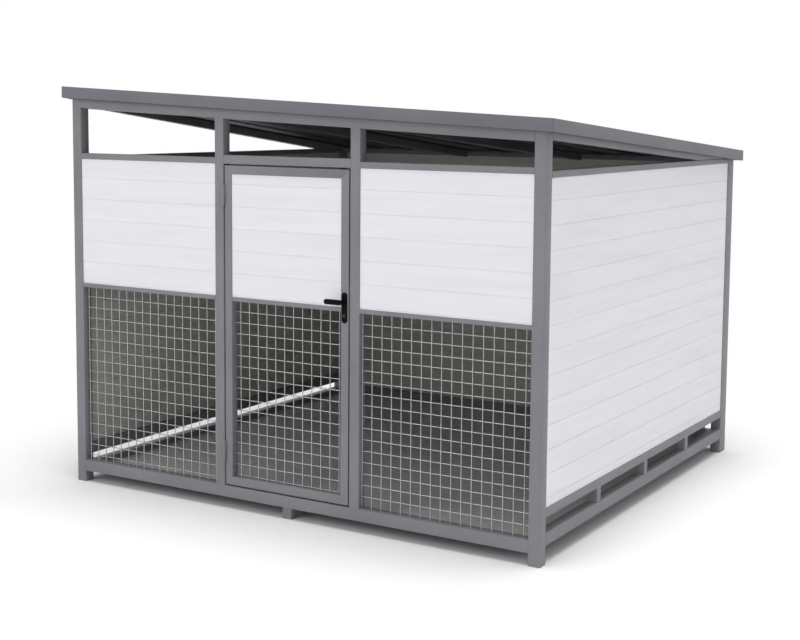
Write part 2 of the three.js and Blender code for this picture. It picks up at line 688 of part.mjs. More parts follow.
function leverGrip(plateFace, outward) {
  const radius = gripHeight / 2;
  const shape = new THREE.Shape();
  shape.absarc(lockX, spindleHeight, radius, -Math.PI / 2, Math.PI / 2, false);
  shape.absarc(lockX - gripReach + radius, spindleHeight, radius, Math.PI / 2, 1.5 * Math.PI, false);
  const reach = (from, to) => [plateFace + outward * from, plateFace + outward * to].sort((a, b) => a - b);
  const gripMiddle = gripStandoff - plateThickness;
  const gripSpan = reach(...around(gripMiddle, gripThickness));
  const neckSpan = reach(seat, gripMiddle);
  return join(
    prismAlongY(shape, gripSpan),
    rodAlongY(neckRadius, lockX, spindleHeight, neckSpan),
    rodAlongY(collarRadius, lockX, spindleHeight, reach(seat, seat + collarLength)),
  );
}
const spindleReach = innerPlateY[1] + 0.5 * gripStandoff;
const square = (size, [y0, y1]) => box(around(lockX, size), [y0, y1], around(spindleHeight, size));
const outerGrip = leverGrip(outerPlateY[0], -1);
const innerGrip = leverGrip(innerPlateY[1], 1);
const spindle = square(spindleSize, [outerPlateY[0] - collarLength, spindleReach]);
add('lever_outer', join(outerGrip, spindle), handleBlack);
const socket = square(spindleSize + seat, [innerPlateY[0], spindleReach + seat]);
add('lever_inner', cut(innerGrip, socket), handleBlack);

// ---- Latch bolt, bevelled on its inner side, dead bolt, key plug and strike plate ----

const latchTip = doorRight + latchReach;
const latchShape = new THREE.Shape([
  new THREE.Vector2(doorRight - latchTail, boltY[0]),
  new THREE.Vector2(latchTip, boltY[0]),
  new THREE.Vector2(latchTip, boltY[0] + boltThickness / 3),
  new THREE.Vector2(latchTip - latchBevel, boltY[1]),
  new THREE.Vector2(doorRight - latchTail, boltY[1]),
]);
const latchBolt = new THREE.ExtrudeGeometry(latchShape, { depth: latchHeight, bevelEnabled: false });
add('latch_bolt', latchBolt.translate(0, 0, latchHeightCentre - latchHeight / 2), bareSteel);

const deadBoltX = [forendOuter - seat - deadBoltLength + boltSlack, forendOuter - seat];
add('dead_bolt', box(deadBoltX, boltY, around(deadBoltCentre, deadBoltHeight)), bareSteel);

const plugY = [outerPlateY[0] - 2, innerPlateY[1] + 2];
const keyway = (ySpan) => box(around(lockX, keywayWidth), ySpan, around(keyHeight, keywayHeight));
const keyways = plugY.map((end) => keyway(around(end, 2 * keywayDepth)));
add('key_plug', cut(rodAlongY(keyPlugRadius, lockX, keyHeight, plugY), ...keyways), bareSteel);

const strikeZ = [deadBoltCentre - deadBoltHeight / 2, latchHeightCentre + latchHeight / 2];
const strike = rectangle(around(doorTubeSize / 2, strikeWidth), between(strikeZ, -strikeMargin));
strike.holes = boltHoles.map(([ySpan, zSpan]) => rectangle(ySpan, zSpan));
const strikeX = [doorOpening / 2 - seat - strikeThickness, doorOpening / 2 - seat];
add('strike_plate', prismAlongX(strike, strikeX), bareSteel);

// The origin lies midway between the foremost point, the outer grip, and the roof's rear edge.
const foremost = gripStandoff + seat + gripThickness / 2;
kennel.position.y = (foremost - roofRear) / 2;

export default kennel;
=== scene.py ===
import json
import math

import bmesh
import bpy
import numpy as np
from mathutils import Matrix, Vector
from mathutils.bvhtree import BVHTree


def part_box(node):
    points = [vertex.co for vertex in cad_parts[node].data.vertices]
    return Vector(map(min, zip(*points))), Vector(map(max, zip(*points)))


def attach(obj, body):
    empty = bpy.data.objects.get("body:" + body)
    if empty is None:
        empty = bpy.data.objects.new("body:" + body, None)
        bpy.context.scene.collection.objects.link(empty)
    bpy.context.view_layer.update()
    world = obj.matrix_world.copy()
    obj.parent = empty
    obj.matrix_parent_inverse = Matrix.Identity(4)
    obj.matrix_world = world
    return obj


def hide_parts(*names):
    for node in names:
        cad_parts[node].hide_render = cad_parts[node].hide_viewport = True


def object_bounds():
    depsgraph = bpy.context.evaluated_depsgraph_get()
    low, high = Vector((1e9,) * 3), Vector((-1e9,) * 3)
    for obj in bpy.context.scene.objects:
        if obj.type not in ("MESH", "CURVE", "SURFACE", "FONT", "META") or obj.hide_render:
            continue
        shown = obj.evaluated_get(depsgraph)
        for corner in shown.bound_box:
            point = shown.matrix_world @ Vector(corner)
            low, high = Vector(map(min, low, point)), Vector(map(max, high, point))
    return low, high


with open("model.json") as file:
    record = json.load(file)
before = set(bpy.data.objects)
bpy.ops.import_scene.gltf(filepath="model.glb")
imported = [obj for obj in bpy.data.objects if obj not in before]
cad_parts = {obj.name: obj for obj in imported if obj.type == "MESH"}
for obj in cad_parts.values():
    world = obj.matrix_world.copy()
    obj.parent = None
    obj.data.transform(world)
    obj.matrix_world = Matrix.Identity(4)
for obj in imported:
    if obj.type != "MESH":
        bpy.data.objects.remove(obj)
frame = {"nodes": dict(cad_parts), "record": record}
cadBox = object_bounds()
nodes = frame["nodes"]
bodyOf = {node: body for body, members in frame["record"]["behaviour"]["bodies"].items() for node in members}

# Metres throughout. X runs along the front, Y towards the rear and Z up.
# Heights of one joint of the front boards and of the walls, and the pitch of all boards.
joints = {"frontBoards": 1.115, "wallBoards": 0.277, "pitch": 0.103}


# Materials

def linear(hexColour):
    channels = [int(hexColour[k:k + 2], 16) / 255 for k in (1, 3, 5)]
    return tuple(c / 12.92 if c <= 0.04045 else ((c + 0.055) / 1.055) ** 2.4 for c in channels) + (1.0,)


def connect(tree, node, inputs):
    for socket, value in inputs.items():
        if isinstance(value, bpy.types.NodeSocket):
            tree.links.new(value, node.inputs[socket])
        else:
            node.inputs[socket].default_value = value


# Settings are a node's own choices. An input is a value, or the output of another node to link to it.
def addNode(tree, kind, settings=None, inputs=None):
    node = tree.nodes.new(kind)
    for name, choice in (settings or {}).items():
        setattr(node, name, choice)
    connect(tree, node, inputs or {})
    return node


def newMaterial(name, shaderSettings):
    material = bpy.data.materials.new(name)
    material.use_nodes = True
    tree = material.node_tree
    shader = tree.nodes["Principled BSDF"]
    connect(tree, shader, shaderSettings)
    coords = addNode(tree, "ShaderNodeTexCoord").outputs["Object"]
    return material, tree, shader, coords


# Where the pattern is below start the first colour shows, and above end the given share of the second.
# In a colour mix, inputs 0, 6 and 7 are the factor and the two colours, and output 2 is their mix.
def twoTone(tree, pattern, start, end, firstColour, secondColour, share=1.0):
    factor = addNode(tree, "ShaderNodeMapRange", inputs={
        "Value": pattern, "From Min": start, "From Max": end, "To Max": share})
    mix = addNode(tree, "ShaderNodeMix", {"data_type": "RGBA"}, {
        0: factor.outputs["Result"], 6: firstColour, 7: secondColour})
    return mix.outputs[2]


# Faces that look down, past the given height of their normal, take the lower colour.
def facingDown(tree, limit, upperColour, lowerColour):
    normal = addNode(tree, "ShaderNodeNewGeometry").outputs["Normal"]
    parts = addNode(tree, "ShaderNodeSeparateXYZ", inputs={"Vector": normal})
    lower = addNode(tree, "ShaderNodeMath", {"operation": "LESS_THAN"}, {0: parts.outputs["Z"], 1: limit})
    mix = addNode(tree, "ShaderNodeMix", {"data_type": "RGBA"}, {
        0: lower.outputs["Value"], 6: upperColour, 7: lowerColour})
    return mix.outputs[2]


# Sizes in the patterns' dictionaries are in millimetres, and a texture's scale is 1000 divided by the size.
steelPaint = {"clouds": 330, "scuffs": 18, "orangePeel": 2.4, "peelDepth": 0.25}


# Powder coat baked on steel: an even satin with faint clouds, a few pale scuffs and a fine orange peel.
def satinPaintOnSteel(name, colour, shade, underside=None):
    material, tree, shader, coords = newMaterial(name, {"Metallic": 0.0, "Specular IOR Level": 0.12})
    clouds = addNode(tree, "ShaderNodeTexNoise", inputs={
        "Vector": coords, "Scale": 1000 / steelPaint["clouds"], "Detail": 4.0})
    scuffs = addNode(tree, "ShaderNodeTexNoise", inputs={
        "Vector": coords, "Scale": 1000 / steelPaint["scuffs"], "Detail": 6.0, "Roughness": 0.7})
    peel = addNode(tree, "ShaderNodeTexNoise", inputs={
        "Vector": coords, "Scale": 1000 / steelPaint["orangePeel"], "Detail": 2.0})
    base = twoTone(tree, clouds.outputs["Fac"], 0.3, 0.7, linear(shade), linear(colour))
    base = twoTone(tree, scuffs.outputs["Fac"], 0.6, 0.8, base, linear("#b9bbbe"), 0.12)
    # Painted shade: when an underside colour is given, faces looking down take it, for the shade beneath the
    # sheet.
    if underside:
        base = facingDown(tree, -0.3, base, linear(underside))  # painted shade: faces looking down take a darker grey, for the shade under the sheet
    gloss = addNode(tree, "ShaderNodeMapRange", inputs={
        "Value": scuffs.outputs["Fac"], "To Min": 0.34, "To Max": 0.5})
    relief = addNode(tree, "ShaderNodeBump", inputs={
        "Height": peel.outputs["Fac"], "Distance": steelPaint["peelDepth"] / 1000, "Strength": 0.5})
    connect(tree, shader, {
        "Base Color": base, "Roughness": gloss.outputs["Result"], "Normal": relief.outputs["Normal"]})
    return material


# The grain is drawn ten times as coarse as on real boards, because it would not show otherwise.
boardPaint = {"grainLength": 625, "grainWidth": 45, "grainDepth": 0.4}


# Water-based paint on planed boards: each board a touch lighter or darker, the grain showing through, and
# the faces turned to the cabin in a pale grey that is painted shade, for the dim light inside.
def paintedBoards(name, outside, shadedSide, facing):
    material, tree, shader, coords = newMaterial(name, {"Metallic": 0.0, "Specular IOR Level": 0.4})
    position = addNode(tree, "ShaderNodeSeparateXYZ", inputs={"Vector": coords})
    # One board's number is its height above the first joint, in whole pitches of 103 mm.
    above = addNode(tree, "ShaderNodeMath", {"operation": "SUBTRACT"}, {
        0: position.outputs["Z"], 1: facing["firstJoint"]})
    pitches = addNode(tree, "ShaderNodeMath", {"operation": "DIVIDE"}, {
        0: above.outputs["Value"], 1: joints["pitch"]})
    number = addNode(tree, "ShaderNodeMath", {"operation": "FLOOR"}, {0: pitches.outputs["Value"]})
    tone = addNode(tree, "ShaderNodeTexWhiteNoise", {"noise_dimensions": "1D"}, {
        "W": number.outputs["Value"]})
    alongGrain = addNode(tree, "ShaderNodeMapping", inputs={"Vector": coords, "Scale": facing["grain"]})
    grain = addNode(tree, "ShaderNodeTexNoise", inputs={
        "Vector": alongGrain.outputs["Vector"], "Scale": 1.0, "Detail": 6.0, "Roughness": 0.6})
    white = twoTone(tree, tone.outputs["Value"], 0.0, 1.0, linear(outside), linear("#eceaef"))
    white = twoTone(tree, grain.outputs["Fac"], 0.45, 0.75, white, linear("#d9d8dd"), 0.35)
    # Painted shade: the cabin's faces take this darker grey in place of the white.
    grey = twoTone(tree, grain.outputs["Fac"], 0.3, 0.7, linear(shadedSide), linear("#bfbcb5"))
    # The cabin's face lies beyond the middle of the board's thickness.
    inner = addNode(tree, "ShaderNodeMath", {"operation": facing["shadedSide"]}, {
        0: position.outputs[facing["axis"]], 1: facing["middle"]})
    base = addNode(tree, "ShaderNodeMix", {"data_type": "RGBA"}, {
        0: inner.outputs["Value"], 6: white, 7: grey})
    gloss = addNode(tree, "ShaderNodeMapRange", inputs={
        "Value": grain.outputs["Fac"], "To Min": 0.38, "To Max": 0.52})
    relief = addNode(tree, "ShaderNodeBump", inputs={
        "Height": grain.outputs["Fac"], "Distance": boardPaint["grainDepth"] / 1000, "Strength": 0.35})
    connect(tree, shader, {
        "Base Color": base.outputs[2], "Roughness": gloss.outputs["Result"],
        "Normal": relief.outputs["Normal"]})
    return material


zincSpangle = {"size": 3.8}


# Hot-dip galvanised wire: a dull grey metal whose crystals catch the light one by one.
def galvanisedWire(name):
    material, tree, shader, coords = newMaterial(name, {"Metallic": 0.85})
    spangle = addNode(tree, "ShaderNodeTexVoronoi", inputs={
        "Vector": coords, "Scale": 1000 / zincSpangle["size"]})
    value = addNode(tree, "ShaderNodeSeparateColor", inputs={"Color": spangle.outputs["Color"]})
    base = twoTone(tree, value.outputs["Red"], 0.0, 1.0, linear("#a2a3a3"), linear("#c0c1c1"))
    gloss = addNode(tree, "ShaderNodeMapRange", inputs={
        "Value": value.outputs["Red"], "To Min": 0.34, "To Max": 0.5})
    connect(tree, shader, {"Base Color": base, "Roughness": gloss.outputs["Result"]})
    return material


floorFilm = {"clouds": 450, "weave": 5, "weaveDepth": 0.3}


# Birch plywood under a phenolic film: a smooth pale grey with an anti-slip weave pressed into it, one line
# every 5 mm in each direction; edges, underside and bearers, the faces that do not look up, are drawn
# darker.
def filmFacedPlywood(name):
    material, tree, shader, coords = newMaterial(name, {"Metallic": 0.0})
    clouds = addNode(tree, "ShaderNodeTexNoise", inputs={
        "Vector": coords, "Scale": 1000 / floorFilm["clouds"], "Detail": 5.0, "Roughness": 0.6})
    base = twoTone(tree, clouds.outputs["Fac"], 0.3, 0.7, linear("#cecece"), linear("#dbdbda"))
    base = facingDown(tree, 0.5, base, linear("#66696d"))
    position = addNode(tree, "ShaderNodeSeparateXYZ", inputs={"Vector": coords})
    waves = []
    for axis in ("X", "Y"):
        angle = addNode(tree, "ShaderNodeMath", {"operation": "MULTIPLY"}, {
            0: position.outputs[axis], 1: 2 * math.pi * 1000 / floorFilm["weave"]})
        waves.append(addNode(tree, "ShaderNodeMath", {"operation": "SINE"}, {0: angle.outputs["Value"]}))
    weave = addNode(tree, "ShaderNodeMath", {"operation": "MAXIMUM"}, {
        k: wave.outputs["Value"] for k, wave in enumerate(waves)})
    gloss = addNode(tree, "ShaderNodeMapRange", inputs={
        "Value": weave.outputs["Value"], "From Min": -1.0, "To Min": 0.5, "To Max": 0.66})
    relief = addNode(tree, "ShaderNodeBump", inputs={
        "Height": weave.outputs["Value"], "Distance": floorFilm["weaveDepth"] / 1000, "Strength": 0.5})
    connect(tree, shader, {
        "Base Color": base, "Roughness": gloss.outputs["Result"], "Normal": relief.outputs["Normal"]})
    return material


# The coat's grain is drawn at 1.1 mm, coarser than the real one, so that it shows.
blackCoat = {"grain": 1.1, "grainDepth": 0.1}


# Satin black coating on cast aluminium: nearly black, with a soft sheen broken up by a fine grain.
def satinBlackCoating(name):
    material, tree, shader, coords = newMaterial(name, {"Metallic": 0.0, "Specular IOR Level": 0.07})
    grain = addNode(tree, "ShaderNodeTexNoise", inputs={
        "Vector": coords, "Scale": 1000 / blackCoat["grain"], "Detail": 2.0})
    base = twoTone(tree, grain.outputs["Fac"], 0.0, 1.0, linear("#060607"), linear("#0e0e11"))
    gloss = addNode(tree, "ShaderNodeMapRange", inputs={
        "Value": grain.outputs["Fac"], "To Min": 0.34, "To Max": 0.46})
    relief = addNode(tree, "ShaderNodeBump", inputs={
        "Height": grain.outputs["Fac"], "Distance": blackCoat["grainDepth"] / 1000, "Strength": 0.5})
    connect(tree, shader, {
        "Base Color": base, "Roughness": gloss.outputs["Result"], "Normal": relief.outputs["Normal"]})
    return material


brushing = {"width": 1.1, "length": 33}


# Brushed and plated steel: a metal with long, thin, upright streaks from the brush.
def brushedPlating(name, dull, bright):
    material, tree, shader, coords = newMaterial(name, {"Metallic": 1.0})
    across, along = 1000 / brushing["width"], 1000 / brushing["length"]
    stretched = addNode(tree, "ShaderNodeMapping", inputs={
        "Vector": coords, "Scale": (across, across, along)})
    streaks = addNode(tree, "ShaderNodeTexNoise", inputs={
        "Vector": stretched.outputs["Vector"], "Scale": 1.0, "Detail": 3.0})
    base = twoTone(tree, streaks.outputs["Fac"], 0.0, 1.0, linear(dull), linear(bright))
    gloss = addNode(tree, "ShaderNodeMapRange", inputs={
        "Value": streaks.outputs["Fac"], "To Min": 0.24, "To Max": 0.4})
    connect(tree, shader, {"Base Color": base, "Roughness": gloss.outputs["Result"]})
    return material


framePaint = satinPaintOnSteel("satin grey paint on steel tube", "#87888c", "#7f8084")
# The roof's third colour is painted shade on the sheet's downward faces.
roofPaint = satinPaintOnSteel("satin grey paint on steel sheet", "#797a7f", "#717277", "#45474a")
wire = galvanisedWire("galvanised welded wire")
plywood = filmFacedPlywood("grey film-faced plywood")
blackCoating = satinBlackCoating("satin black coated handle")
zinc = brushedPlating("zinc-plated lock steel", "#a9abae", "#cfd1d2")
nickel = brushedPlating("nickel-plated key cylinder", "#38393a", "#545557")
# Painted shade: near-black for the screws' cross recesses, drawn as strips in place of hollows.
paintedRecessShade = satinBlackCoating("paintedShade screw recess")

lowFront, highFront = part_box("boards_front_left")
lowWall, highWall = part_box("boards_right")
lowRear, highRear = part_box("boards_rear")
along, across = 1000 / boardPaint["grainLength"], 1000 / boardPaint["grainWidth"]
alongX, alongY = (along, across, across), (across, along, across)
boardLooks = {
    "front boards": {"axis": "Y", "shadedSide": "GREATER_THAN", "middle": (lowFront.y + highFront.y) / 2,
                     "firstJoint": joints["frontBoards"], "grain": alongX},
    "rear boards": {"axis": "Y", "shadedSide": "LESS_THAN", "middle": (lowRear.y + highRear.y) / 2,
                    "firstJoint": joints["wallBoards"], "grain": alongX},
    "left boards": {"axis": "X", "shadedSide": "GREATER_THAN", "middle": -(lowWall.x + highWall.x) / 2,
                    "firstJoint": joints["wallBoards"], "grain": alongY},
    "right boards": {"axis": "X", "shadedSide": "LESS_THAN", "middle": (lowWall.x + highWall.x) / 2,
                     "firstJoint": joints["wallBoards"], "grain": alongY},
}
# The third colour is painted shade for the boards' faces inside the cabin.
boards = {name: paintedBoards("satin white paint on " + name, "#e9e8ed", "#cfccc6", look)
          for name, look in boardLooks.items()}
boardNodes = {
    "boards_front_left": boards["front boards"],
    "boards_front_right": boards["front boards"],
    "door_boards": boards["front boards"],
    "boards_rear": boards["rear boards"],
    "boards_left": boards["left boards"],
    "boards_right": boards["right boards"],
}
slotLooks = {
    "frame_paint": framePaint,
    "roof_paint": roofPaint,
    "galvanised_wire": wire,
    "floor_coating": plywood,
    "black_handle": blackCoating,
    "bare_steel": zinc,
}
slotOf = {entry["node"]: entry["material_slot"] for entry in frame["record"]["subparts"]}
for name, node in nodes.items():
    look = boardNodes.get(name) or slotLooks[slotOf[name]]
    node.data.materials.clear()
    node.data.materials.append(look)
print("materials set")


# Helpers for the pieces

def newPiece(name, mesh, body, look, replaced=()):
    piece = bpy.data.objects.new(name, mesh)
    bpy.context.scene.collection.objects.link(piece)
    mesh.materials.clear()
    mesh.materials.append(look)
    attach(piece, body)
    if replaced:
        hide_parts(*replaced)
    return piece


def smoothBelow(mesh, degrees):
    mesh.polygons.foreach_set("use_smooth", np.ones(len(mesh.polygons), bool))
    mesh.set_sharp_from_angle(angle=math.radians(degrees))


def cleaned(node):
    form = bmesh.new()
    form.from_mesh(nodes[node].data)
    bmesh.ops.remove_doubles(form, verts=form.verts, dist=1e-6)
    bmesh.ops.dissolve_limit(form, angle_limit=math.radians(0.8), verts=form.verts, edges=form.edges)
    return form


def isOutsideCorner(edge):
    return edge.is_manifold and edge.is_convex and edge.calc_face_angle() > math.radians(40)


tubes = {"cornerRadius": 0.003, "segments": 3}
fascias = {"cornerRadius": 0.0012, "segments": 2}
legs = {"below": 0.03, "startBelow": 0.056, "shortestEdge": 0.03}


# A tube or bent sheet gets its rolled corners: the outer edges that run along it, and along its legs.
def roundAlong(node, rolled):
    form = cleaned(node)
    low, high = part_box(node)
    span = high - low
    axis = max(range(3), key=lambda k: span[k])

    def runsAlong(edge):
        direction = (edge.verts[1].co - edge.verts[0].co).normalized()
        if abs(direction[axis]) > 0.9:
            return edge.calc_length() > legs["shortestEdge"]
        heights = sorted(v.co.z for v in edge.verts)
        isUpright = abs(direction.z) > 0.99
        return isUpright and heights[1] < high.z - legs["below"] and heights[0] < high.z - legs["startBelow"]

    corners = [edge for edge in form.edges if isOutsideCorner(edge) and runsAlong(edge)]
    bmesh.ops.bevel(form, geom=corners, offset=rolled["cornerRadius"], segments=rolled["segments"],
                    profile=0.5, affect="EDGES", clamp_overlap=True)
    mesh = bpy.data.meshes.new(node + "Rounded")
    form.to_mesh(mesh)
    form.free()
    smoothBelow(mesh, 35)
    return mesh


def isTube(name):
    return slotOf[name] == "frame_paint" and not name.startswith("hinge")


for name in nodes:
    if isTube(name):
        mesh = roundAlong(name, tubes)
        newPiece(name + "Tube", mesh, bodyOf[name], framePaint, [name])
    elif name.startswith("fascia"):
        mesh = roundAlong(name, fascias)
        newPiece(name + "Sheet", mesh, bodyOf[name], roofPaint, [name])
print("tubes rounded")


# Welded mesh: round wires, uprights in front of the level ones, with a small weld at each crossing

wires = {"radius": 0.0022, "pitchAcross": 0.050, "topMargin": 0.050, "sides": 10, "gap": 0.0003,
         "weldAcross": 0.0031, "weldDeep": 0.0019}
grids = {
    "wire_mesh_left": {"pitchUp": 0.0533, "offset": 0.0},
    "wire_mesh_right": {"pitchUp": 0.0515, "offset": -0.013},
    "door_wire_mesh": {"pitchUp": 0.0515, "offset": 0.007},
}


# A ring of points round the start and one round the end, both square to the line between them.
def rod(start, end, radius, sides):
    axis = (Vector(end) - Vector(start)).normalized()
    side = axis.orthogonal().normalized()
    other = axis.cross(side)
    angles = np.arange(sides) * 2 * math.pi / sides
    ring = radius * (np.outer(np.cos(angles), side) + np.outer(np.sin(angles), other))
    points = np.concatenate([ring + np.array(start), ring + np.array(end)])
    k = np.arange(sides)
    n = (k + 1) % sides
    faces = [list(face) for face in np.stack([k, n, n + sides, k + sides], 1)]
    return points, faces + [list(k[::-1]), list(k + sides)]


def merged(name, parts):
    points, faces, start = [], [], 0
    for vertices, polygons in parts:
        points.append(vertices)
        faces += [[int(i) + start for i in polygon] for polygon in polygons]
        start += len(vertices)
    mesh = bpy.data.meshes.new(name)
    mesh.from_pydata(np.concatenate(points).tolist(), [], faces)
    mesh.validate()
    return mesh


# Uprights stand at even steps to both sides of the middle, and level wires at even steps below the top one.
def wireGrid(node):
    low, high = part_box(node)
    gap, radius = wires["gap"], wires["radius"]
    left, right, bottom, top = low.x - gap, high.x + gap, low.z - gap, high.z + gap
    pitchUp, offset = grids[node]["pitchUp"], grids[node]["offset"]
    columns = int((right - left - 2 * (radius + abs(offset))) / wires["pitchAcross"]) + 1
    rows = int((top - wires["topMargin"] - bottom - 2 * radius) / pitchUp) + 1
    across = (left + right) / 2 + offset + (np.arange(columns) - (columns - 1) / 2) * wires["pitchAcross"]
    up = top - wires["topMargin"] - np.arange(rows) * pitchUp
    uprightY, levelY = low.y + radius, high.y - radius
    parts = [rod((x, uprightY, low.z), (x, uprightY, high.z), radius, wires["sides"]) for x in across]
    parts += [rod((low.x, levelY, z), (high.x, levelY, z), radius, wires["sides"]) for z in up]
    blob, blobFaces = weldBlob()
    middle = (uprightY + levelY) / 2
    parts += [(blob + np.array((x, middle, z)), blobFaces) for x in across for z in up]
    return merged(node + "Wires", parts)


# A weld is a flattened ball a little wider than the wires.
def weldBlob():
    form = bmesh.new()
    bmesh.ops.create_icosphere(form, subdivisions=1, radius=1.0)
    across, deep = wires["weldAcross"], wires["weldDeep"]
    points = np.array([v.co for v in form.verts]) * (across, deep, across)
    faces = [[v.index for v in face.verts] for face in form.faces]
    form.free()
    return points, faces


for name in grids:
    mesh = wireGrid(name)
    smoothBelow(mesh, 50)
    newPiece(name + "Wires", mesh, bodyOf[name], wire, [name])
print("wires made")


# Handle, plates and lock: softened edges

softEdges = {"lever_outer": 0.0018, "lever_inner": 0.0018, "backplate_outer": 0.0012,
             "backplate_inner": 0.0012, "latch_bolt": 0.0005, "dead_bolt": 0.0005, "key_plug": 0.0004}


def softened(node, radius):
    form = cleaned(node)
    edges = [edge for edge in form.edges if isOutsideCorner(edge)]
    bmesh.ops.bevel(form, geom=edges, offset=radius, segments=3, profile=0.5, affect="EDGES",
                    clamp_overlap=True)
    mesh = bpy.data.meshes.new(node + "Soft")
    form.to_mesh(mesh)
    form.free()
    smoothBelow(mesh, 35)
    return mesh


for name, radius in softEdges.items():
    look = nickel if name == "key_plug" else slotLooks[slotOf[name]]
    newPiece(name + "Soft", softened(name, radius), bodyOf[name], look, [name])
print("handle and bolts softened")


# Weld beads round the ends of the rails, where they meet the posts, and up the sides of the hinge barrels

# The profile's radii and heights are carried round the upright axis, and both ends are closed.
def turnedForm(profile, sides):
    angles = np.arange(sides) * 2 * math.pi / sides
    radii, heights = np.array(profile).T
    points = np.stack([radii[:, None] * np.cos(angles), radii[:, None] * np.sin(angles),
                       np.repeat(heights[:, None], sides, 1)], -1).reshape(-1, 3)
    k = np.arange(sides)
    n = (k + 1) % sides
    faces = [[int(i) for i in face] for ring in range(len(profile) - 1)
             for face in np.stack([k, n, n + sides, k + sides], 1) + ring * sides]
    last = (len(profile) - 1) * sides
    return points, faces + [k[::-1].tolist(), (k + last).tolist()]


bead = {"radius": 0.0022, "swell": 0.18, "ripple": 0.007, "step": 0.0018, "sides": 6, "sunk": 0.4}


# Rings follow the closed path, and each ring's radius swells and shrinks once in every ripple.
def weldBead(path):
    count = len(path)
    along = np.roll(path, -1, 0) - np.roll(path, 1, 0)
    along /= np.linalg.norm(along, axis=1)[:, None]
    travel = np.concatenate([[0], np.cumsum(np.linalg.norm(np.diff(path, axis=0), axis=1))])
    radius = bead["radius"] * (1 + bead["swell"] * np.sin(2 * math.pi * travel / bead["ripple"]))
    outward = path - path.mean(0)
    outward -= (outward * along).sum(1)[:, None] * along
    outward /= np.linalg.norm(outward, axis=1)[:, None]
    sideways = np.cross(along, outward)
    turns = np.arange(bead["sides"]) * 2 * math.pi / bead["sides"]
    ring = (np.cos(turns)[None, :, None] * outward[:, None, :]
            + np.sin(turns)[None, :, None] * sideways[:, None, :])
    points = (path[:, None, :] + radius[:, None, None] * ring).reshape(-1, 3)
    row, side = np.meshgrid(np.arange(count), np.arange(bead["sides"]), indexing="ij")
    nextRow, nextSide = (row + 1) % count, (side + 1) % bead["sides"]
    corners = [row * bead["sides"] + side, nextRow * bead["sides"] + side,
               nextRow * bead["sides"] + nextSide, row * bead["sides"] + nextSide]
    return points, np.stack(corners, -1).reshape(-1, 4).tolist()


# The outline of a tube's end, in even steps along its four sides, with the bead's share sunk into the tube.
def loopRound(low, high, axis, at):
    a, b = [k for k in range(3) if k != axis]
    inset = bead["radius"] * bead["sunk"]
    a0, a1, b0, b1 = low[a] + inset, high[a] - inset, low[b] + inset, high[b] - inset
    corners = np.array([(a0, b0), (a1, b0), (a1, b1), (a0, b1), (a0, b0)])
    sides = []
    for start, end in zip(corners[:-1], corners[1:]):
        steps = max(2, int(np.linalg.norm(end - start) / bead["step"]))
        share = np.arange(steps)[:, None] / steps
        sides.append(start + share * (end - start))
    flat = np.concatenate(sides)
    path = np.zeros((len(flat), 3))
    path[:, a], path[:, b], path[:, axis] = flat[:, 0], flat[:, 1], at
    return path


alongFront, alongSide = 0, 1
weldedRails = {
    alongFront: ["bottom_rail_front", "bottom_rail_rear", "top_rail_rear", "transom_left", "transom_right",
                 "door_head", "mid_rail_left", "mid_rail_right", "door_mid_rail"],
    alongSide: ["bottom_rail_left", "bottom_rail_right", "low_rail_left", "low_rail_right", "top_rail_left",
                "top_rail_right"],
}
# The depth of the tube itself, for the rails whose solid also has feet or legs.
tubeTop = {"bottom_rail_front": 0.055, "bottom_rail_rear": 0.055, "low_rail_right": 0.040}
beads = {"frame": [], "door": []}
for axis, rails in weldedRails.items():
    for name in rails:
        low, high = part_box(name)
        low.z = high.z - tubeTop.get(name, high.z - low.z)
        for at in (low[axis], high[axis]):
            beads[bodyOf[name]].append(weldBead(loopRound(low, high, axis, at)))

# A barrel stands in front of the gap beside its tube, so its weld fills the room that the rolled corner
# leaves.
hingeWeld = {"radius": 0.0026, "fromEnd": 0.003, "steps": 50, "sides": 10}
for height in ("lower", "upper"):
    pinBarrel, doorBarrel = "hinge_pin_barrel_" + height, "hinge_door_barrel_" + height
    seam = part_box(doorBarrel)[0].z
    for name, tube, side in ((pinBarrel, "door_post_left", -1), (doorBarrel, "door_hinge_stile", 1)):
        low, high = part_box(name)
        bottom, top = (low.z, seam) if side < 0 else (seam, high.z)
        barrelRadius = (high.x - low.x) / 2
        axis = np.array(((low.x + high.x) / 2, (low.y + high.y) / 2))
        tubeLow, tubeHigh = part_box(tube)
        edge = tubeHigh.x if side < 0 else tubeLow.x
        corner = np.array((edge + side * tubes["cornerRadius"], tubeLow.y + tubes["cornerRadius"]))
        reach = np.linalg.norm(corner - axis)
        middle = axis + (corner - axis) / reach * (reach + barrelRadius - tubes["cornerRadius"]) / 2
        heights = np.linspace(bottom + hingeWeld["fromEnd"], top - hingeWeld["fromEnd"], hingeWeld["steps"])
        radii = hingeWeld["radius"] * (1 + bead["swell"] * np.sin(2 * math.pi * heights / bead["ripple"]))
        radii[[0, -1]] *= 0.4
        points, faces = turnedForm(list(zip(radii, heights)), hingeWeld["sides"])
        beads[bodyOf[name]].append((points + (middle[0], middle[1], 0), faces))
for body, parts in beads.items():
    mesh = merged(body + "WeldBeads", parts)
    smoothBelow(mesh, 60)
    newPiece(body + "WeldBeads", mesh, body, framePaint)
print("weld beads made")


# Floor: the sheet lies on bearers whose ends are set back from its edges, out of sight under the rails

# The eight corners of an upright box between two opposite ones, and its six faces turned outwards.
def block(low, high):
    corners = ((low[0], low[1]), (high[0], low[1]), (high[0], high[1]), (low[0], high[1]))
    points = np.array([(x, y, z) for z in (low[2], high[2]) for x, y in corners])
    return points, [[3, 2, 1, 0], [4, 5, 6, 7], [0, 1, 5, 4], [1, 2, 6, 5], [2, 3, 7, 6], [3, 0, 4, 7]]


